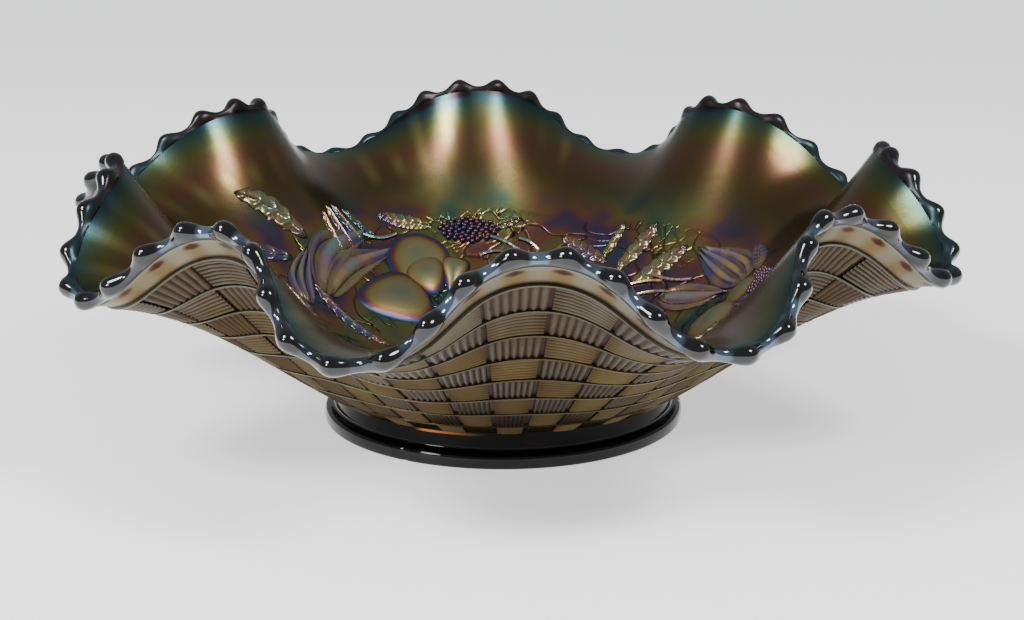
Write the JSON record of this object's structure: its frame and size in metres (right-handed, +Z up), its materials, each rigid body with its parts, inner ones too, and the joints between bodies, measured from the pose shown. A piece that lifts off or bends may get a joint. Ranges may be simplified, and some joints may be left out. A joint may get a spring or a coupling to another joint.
{
  "type": "ruffled glass bowl",
  "caption": "Round footed iridescent glass bowl with a ruffled beaded edge, a basketweave outside and a fruit and leaf relief inside.",
  "frame": {"origin": "centre of the foot on the surface that the bowl stands on", "axes": "+Z up through the bowl, -Y towards the front, where a ruffle's crest stands, +X to the right"},
  "size_m": [0.2294, 0.2286, 0.0754],
  "materials": {
    "foot_glass": "glossy dark",
    "weave_glass": "satin iridescent bronze",
    "border_glass": "satin iridescent cream to amber",
    "edge_glass": "glossy gunmetal blue",
    "lining_glass": "satin iridescent olive, teal and rose",
    "fruit_glass": "glossy iridescent gold and violet",
    "leaf_glass": "glossy iridescent green and violet"
  },
  "bodies": {
    "root": {"foot_ring": "foot_glass", "bowl_floor": "lining_glass", "bowl_wall": "weave_glass", "plain_border": "border_glass", "beaded_edge": "edge_glass", "weave_upright": "weave_glass", "weave_level": "weave_glass", "pears": "fruit_glass", "apples": "fruit_glass", "cherries": "fruit_glass", "leaves": "leaf_glass", "stems": "leaf_glass"}
  },
  "joints": []
}
